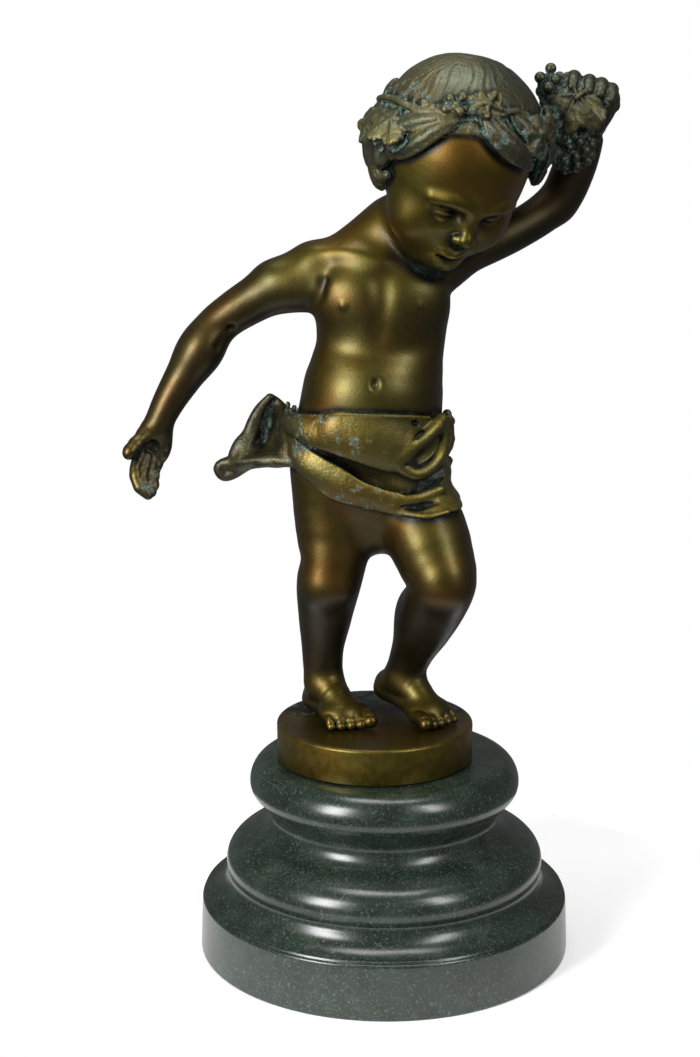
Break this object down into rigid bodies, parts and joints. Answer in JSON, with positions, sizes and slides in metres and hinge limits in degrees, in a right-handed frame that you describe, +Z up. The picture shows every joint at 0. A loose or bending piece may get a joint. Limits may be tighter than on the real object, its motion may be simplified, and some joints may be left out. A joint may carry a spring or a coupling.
{
  "type": "bronze statue of a boy",
  "caption": "Patinated bronze statuette of a small boy in a blown loincloth, with a vine wreath and a raised hand full of grapes, on a round turned stone plinth.",
  "frame": {"origin": "centre of the plinth's underside", "axes": "+Z up, the figure's chest faces -Y, its raised left arm is towards +X"},
  "size_m": [0.1425, 0.1142, 0.2731],
  "materials": {
    "patinated_bronze": "brown-olive waxed patina, rubbed golden on the high parts, green in the hollows",
    "green_stone": "polished dark green marble with fine pale speckle"
  },
  "bodies": {
    "root": {"bronze_boy": "patinated_bronze", "stone_plinth": "green_stone"}
  },
  "joints": []
}
